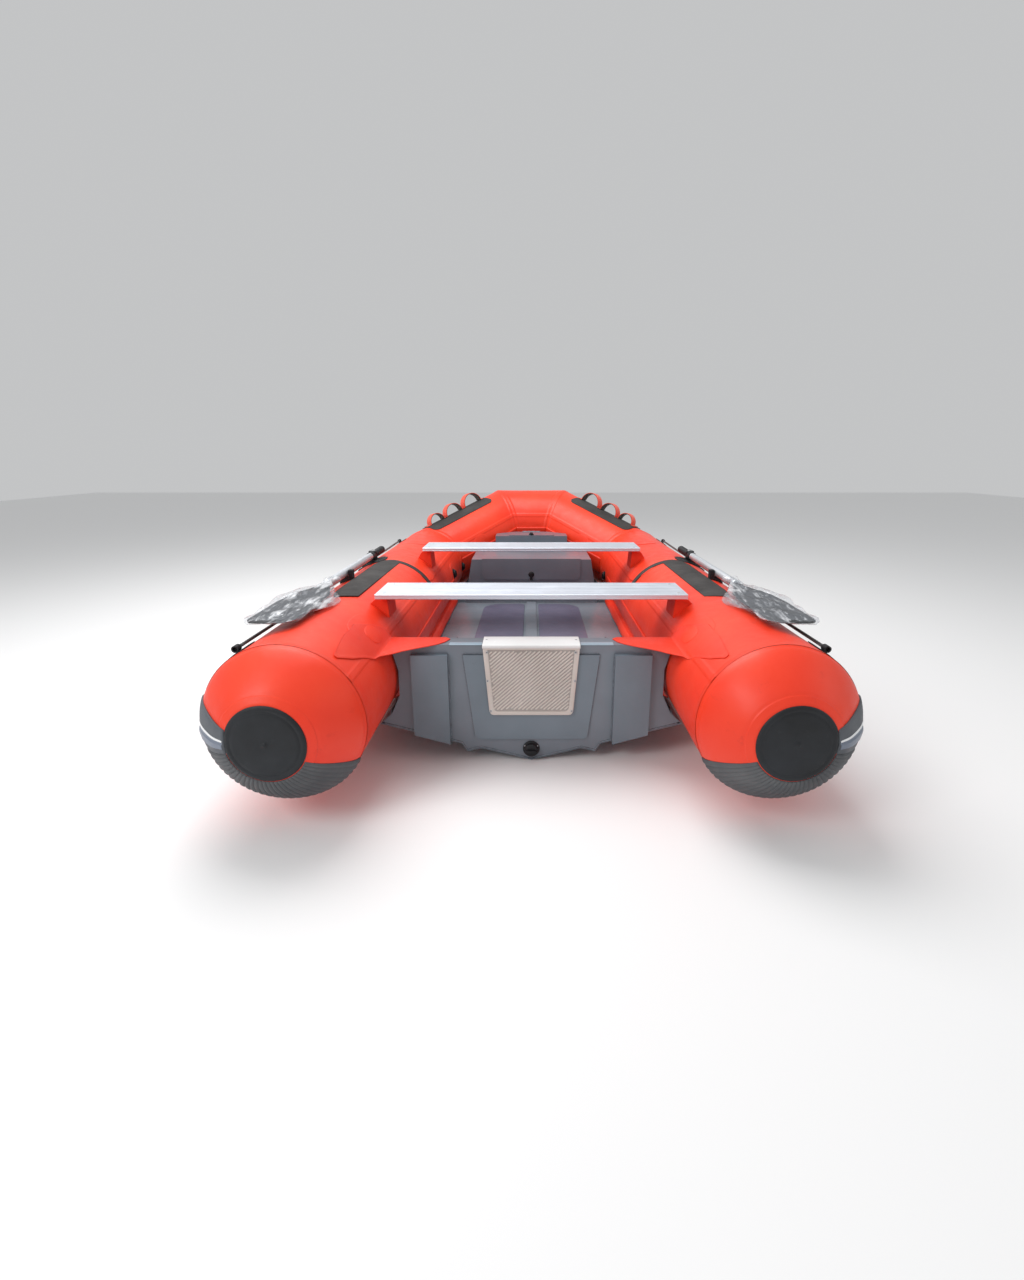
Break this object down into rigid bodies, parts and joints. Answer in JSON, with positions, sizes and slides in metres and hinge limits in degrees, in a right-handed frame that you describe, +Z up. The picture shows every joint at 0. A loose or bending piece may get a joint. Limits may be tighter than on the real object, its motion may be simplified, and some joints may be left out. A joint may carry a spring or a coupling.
{
  "type": "inflatable dinghy",
  "caption": "Rigid-hull inflatable dinghy with a V hull, two side tubes joined by a raised squared bow, bench seats, stowed oars, a bow locker and a motor transom.",
  "frame": {"origin": "middle of the underside of the overall box, at the height of the keel", "axes": "+X to starboard, +Y forward to the bow, +Z up"},
  "size_m": [1.831, 3.3324, 0.7679],
  "materials": {
    "hull_paint": "satin grey paint on aluminium plate",
    "tube_fabric": "smooth coated red-orange cloth",
    "black_rubber": "matte black",
    "grey_rubber": "matte grey",
    "black_plastic": "matte black",
    "pad_plastic": "ribbed cream",
    "bare_aluminium": "brushed",
    "steel": "stainless",
    "clear_film": "clear crumpled film",
    "rope": "black braided cord"
  },
  "bodies": {
    "boat": {"hull_bottom": "hull_paint", "transom": "hull_paint", "transom_panel": "hull_paint", "transom_stiffeners": "hull_paint", "drain_flange": "black_plastic", "motor_pad": "pad_plastic", "pad_screws": "steel", "floor_deck": "hull_paint", "floor_rib": "hull_paint", "locker_box": "hull_paint", "foredeck": "hull_paint", "tube_port": "tube_fabric", "tube_starboard": "tube_fabric", "tube_bow": "tube_fabric", "cone_port": "tube_fabric", "cone_starboard": "tube_fabric", "cap_port": "black_rubber", "cap_starboard": "black_rubber", "strake_port": "grey_rubber", "strake_starboard": "grey_rubber", "strake_bow": "grey_rubber", "wear_patch_port": "grey_rubber", "wear_patch_starboard": "grey_rubber", "gusset_port": "tube_fabric", "gusset_starboard": "tube_fabric", "flap_port": "tube_fabric", "flap_starboard": "tube_fabric", "flap_bow": "tube_fabric", "step_pad_port": "black_rubber", "step_pad_starboard": "black_rubber", "bow_pad_port": "black_rubber", "bow_pad_starboard": "black_rubber", "bow_loops_port": "tube_fabric", "bow_loops_starboard": "tube_fabric", "holders_rear": "tube_fabric", "holders_front": "tube_fabric", "rowlock_port": "black_plastic", "rowlock_starboard": "black_plastic", "oar_clips": "black_plastic", "valve_seats": "black_plastic", "line_eyes": "black_plastic", "lifeline_port": "rope", "lifeline_starboard": "rope"},
    "seat_rear": {"seat_rear": "bare_aluminium"},
    "seat_front": {"seat_front": "bare_aluminium"},
    "locker_lid": {"locker_lid": "hull_paint"},
    "locker_latch": {"locker_latch": "black_plastic"},
    "anchor_lid": {"anchor_lid": "hull_paint"},
    "anchor_latch": {"anchor_latch": "black_plastic"},
    "drain_plug": {"drain_plug": "black_plastic"},
    "oar_port": {"oar_shaft_port": "bare_aluminium", "oar_blade_port": "black_plastic", "blade_wrap_port": "clear_film"},
    "oar_starboard": {"oar_shaft_starboard": "bare_aluminium", "oar_blade_starboard": "black_plastic", "blade_wrap_starboard": "clear_film"},
    "valve_cap_port_aft": {"valve_cap_port_aft": "black_plastic"},
    "valve_cap_port_fore": {"valve_cap_port_fore": "black_plastic"},
    "valve_cap_starboard": {"valve_cap_starboard": "black_plastic"}
  },
  "joints": [
    {"name": "rear_seat_slide", "type": "slide", "parent": "boat", "child": "seat_rear", "axis": [0, 1, 0], "range_m": [-0.04, 0.04]},
    {"name": "front_seat_slide", "type": "slide", "parent": "boat", "child": "seat_front", "axis": [0, 1, 0], "range_m": [-0.04, 0.04]},
    {"name": "locker_lid_hinge", "type": "hinge", "parent": "boat", "child": "locker_lid", "pos_m": [0, 0.8265, 0.432], "axis": [-1, 0, 0], "range_deg": [0, 105]},
    {"name": "locker_latch_turn", "type": "hinge", "parent": "locker_lid", "child": "locker_latch", "pos_m": [0, 0.4809, 0.336], "axis": [0, -1, 0], "range_deg": [0, 90]},
    {"name": "anchor_lid_hinge", "type": "hinge", "parent": "boat", "child": "anchor_lid", "pos_m": [0, 1.1305, 0.509], "axis": [-1, 0, 0], "range_deg": [0, 95]},
    {"name": "anchor_latch_turn", "type": "hinge", "parent": "anchor_lid", "child": "anchor_latch", "pos_m": [0, 0.9805, 0.5076], "axis": [0, 0, 1], "range_deg": [0, 90]},
    {"name": "drain_plug_turn", "type": "hinge", "parent": "boat", "child": "drain_plug", "pos_m": [0, -1.1585, 0.043], "axis": [0, -1, 0], "range_deg": [0, 720]},
    {"name": "port_oar_swing", "type": "hinge", "parent": "boat", "child": "oar_port", "pos_m": [-0.758, -0.1725, 0.559], "axis": [0, 0, -1], "range_deg": [0, 100]},
    {"name": "starboard_oar_swing", "type": "hinge", "parent": "boat", "child": "oar_starboard", "pos_m": [0.758, -0.1725, 0.559], "axis": [0, 0, 1], "range_deg": [0, 100]},
    {"name": "port_aft_valve_turn", "type": "hinge", "parent": "boat", "child": "valve_cap_port_aft", "pos_m": [-0.4559, 0.4425, 0.348], "axis": [0.9871, 0, 0.16], "range_deg": [0, 90]},
    {"name": "port_fore_valve_turn", "type": "hinge", "parent": "boat", "child": "valve_cap_port_fore", "pos_m": [-0.45304, 0.8585, 0.316], "axis": [0.9998, 0, 0.0178], "range_deg": [0, 90]},
    {"name": "starboard_valve_turn", "type": "hinge", "parent": "boat", "child": "valve_cap_starboard", "pos_m": [0.45314, 0.6085, 0.304], "axis": [-0.9994, 0, -0.0356], "range_deg": [0, 90]}
  ]
}
